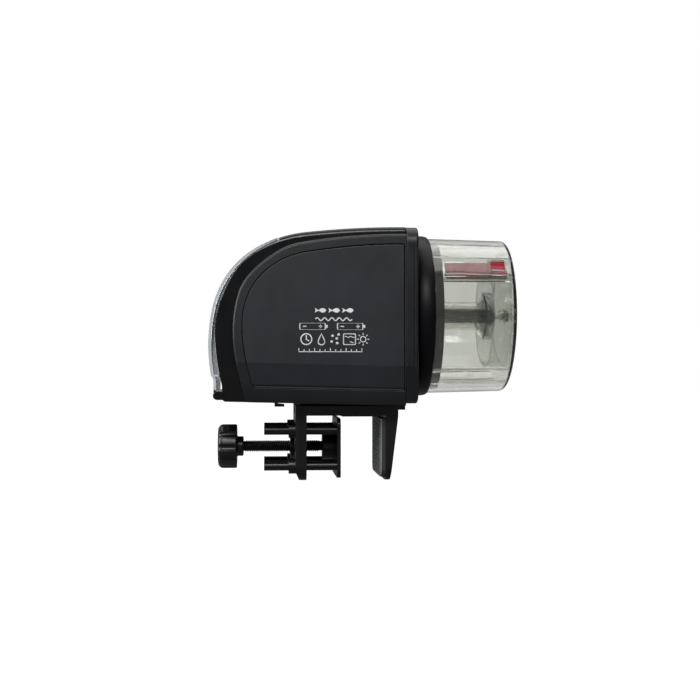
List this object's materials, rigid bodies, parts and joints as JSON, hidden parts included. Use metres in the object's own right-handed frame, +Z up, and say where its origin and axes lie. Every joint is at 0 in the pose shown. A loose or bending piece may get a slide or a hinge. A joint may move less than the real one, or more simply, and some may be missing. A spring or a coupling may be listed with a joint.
{
  "type": "automatic fish feeder",
  "caption": "Clamp-on aquarium feeder: rounded battery housing with hinged display cover, motor-driven clear food drum with a red portion slider, and a screw clamp for the tank's rim",
  "frame": {"origin": "centre of the clamp bar's underside, where the tank's rim seats", "axes": "+X along the drum's axis from the housing to the drum, +Z up, -Y the side with the battery cover"},
  "size_m": [0.1387, 0.075, 0.1117],
  "materials": {
    "housing_black": "fine moulded texture",
    "clear_cover": "polished, clear",
    "window": "polished, clear",
    "display_grey": "reflective display",
    "button_grey": "satin",
    "button_red": "satin",
    "board_green": "solder resist",
    "part_black": "moulded",
    "steel": "drawn",
    "cell_sleeve": "printed sleeve",
    "nickel": "nickel plated",
    "motor_steel": "zinc plated",
    "wire_red": "insulation",
    "gear_white": "acetal",
    "brass": "sintered",
    "drum_black": "fine moulded texture",
    "smoky_clear": "polished, smoke tinted",
    "slider_red": "moulded",
    "spindle_grey": "translucent",
    "clamp_black": "satin moulded",
    "knurled_grey": "diamond knurled"
  },
  "bodies": {
    "bracket": {"clamp_bracket": "clamp_black", "jaw_pad": "knurled_grey"},
    "housing": {"near_shell": "housing_black", "far_shell": "housing_black", "housing_screws": "steel", "far_side_panel": "housing_black", "end_collar": "housing_black", "rail_catch": "housing_black", "cover_hinge_pin": "steel", "control_fascia": "housing_black", "lcd_lens": "window", "lcd_module": "display_grey", "control_board": "board_green", "tact_switches": "part_black", "board_screws": "steel", "battery_tray": "part_black", "batteries": "cell_sleeve", "battery_contacts": "nickel", "bulkhead": "part_black", "motor": "motor_steel", "motor_wires": "wire_red", "shaft_bushes": "brass", "turn_switch": "part_black"},
    "lid": {"display_cover": "clear_cover"},
    "battery_door": {"battery_cover": "housing_black"},
    "set_key": {"set_button": "button_grey"},
    "mode_key": {"mode_button": "button_grey"},
    "time_key": {"time_button": "button_grey"},
    "feed_key": {"feed_button": "button_red"},
    "pinion": {"motor_pinion": "gear_white"},
    "drum": {"drum_gear": "gear_white", "output_shaft": "steel", "turn_cam": "gear_white", "drum_base": "drum_black", "spindle": "spindle_grey", "spindle_tube": "smoky_clear", "hub_wheel": "spindle_grey", "spindle_pin": "steel"},
    "food_cup": {"food_drum": "smoky_clear", "drum_plug": "drum_black", "portion_ring": "smoky_clear"},
    "slider": {"portion_slider": "slider_red"},
    "presser": {"pressure_plate": "clamp_black"},
    "screw": {"clamp_screw": "clamp_black", "clamp_knob": "clamp_black"}
  },
  "joints": [
    {"name": "housing_slide", "type": "slide", "parent": "bracket", "child": "housing", "axis": [-1, 0, 0], "range_m": [0, 0.052]},
    {"name": "lid_hinge", "type": "hinge", "parent": "housing", "child": "lid", "pos_m": [-0.0566, 0, 0.0095], "axis": [0, -1, 0], "range_deg": [0, 95]},
    {"name": "battery_door_slide", "type": "slide", "parent": "housing", "child": "battery_door", "axis": [0, -1, 0], "range_m": [0, 0.03]},
    {"name": "set_key_press", "type": "slide", "parent": "housing", "child": "set_key", "axis": [1, 0, 0], "range_m": [0, 0.0008], "stiffness_N_per_m": 300, "springref_m": -0.0008},
    {"name": "mode_key_press", "type": "slide", "parent": "housing", "child": "mode_key", "axis": [1, 0, 0], "range_m": [0, 0.0008], "stiffness_N_per_m": 300, "springref_m": -0.0008},
    {"name": "time_key_press", "type": "slide", "parent": "housing", "child": "time_key", "axis": [1, 0, 0], "range_m": [0, 0.0008], "stiffness_N_per_m": 300, "springref_m": -0.0008},
    {"name": "feed_key_press", "type": "slide", "parent": "housing", "child": "feed_key", "axis": [1, 0, 0], "range_m": [0, 0.0008], "stiffness_N_per_m": 300, "springref_m": -0.0008},
    {"name": "drum_spin", "type": "hinge", "parent": "housing", "child": "drum", "pos_m": [0.031, 0, 0.0456], "axis": [1, 0, 0], "continuous": true},
    {"name": "pinion_spin", "type": "hinge", "parent": "housing", "child": "pinion", "pos_m": [0.022, 0, 0.02312], "axis": [1, 0, 0], "continuous": true},
    {"name": "cup_pull", "type": "slide", "parent": "drum", "child": "food_cup", "axis": [1, 0, 0], "range_m": [0, 0.04]},
    {"name": "slider_move", "type": "slide", "parent": "food_cup", "child": "slider", "axis": [-1, 0, 0], "range_m": [0, 0.01]},
    {"name": "presser_slide", "type": "slide", "parent": "bracket", "child": "presser", "axis": [1, 0, 0], "range_m": [-0.0075, 0.015]},
    {"name": "screw_turn", "type": "hinge", "parent": "presser", "child": "screw", "pos_m": [-0.03, 0, -0.0142], "axis": [1, 0, 0], "range_deg": [-2700, 5400]}
  ],
  "couplings": [
    {"joint": "pinion_spin", "follows": "drum_spin", "ratio": -3.6667},
    {"joint": "screw_turn", "follows": "presser_slide", "rad_per_m": 6283.2}
  ]
}
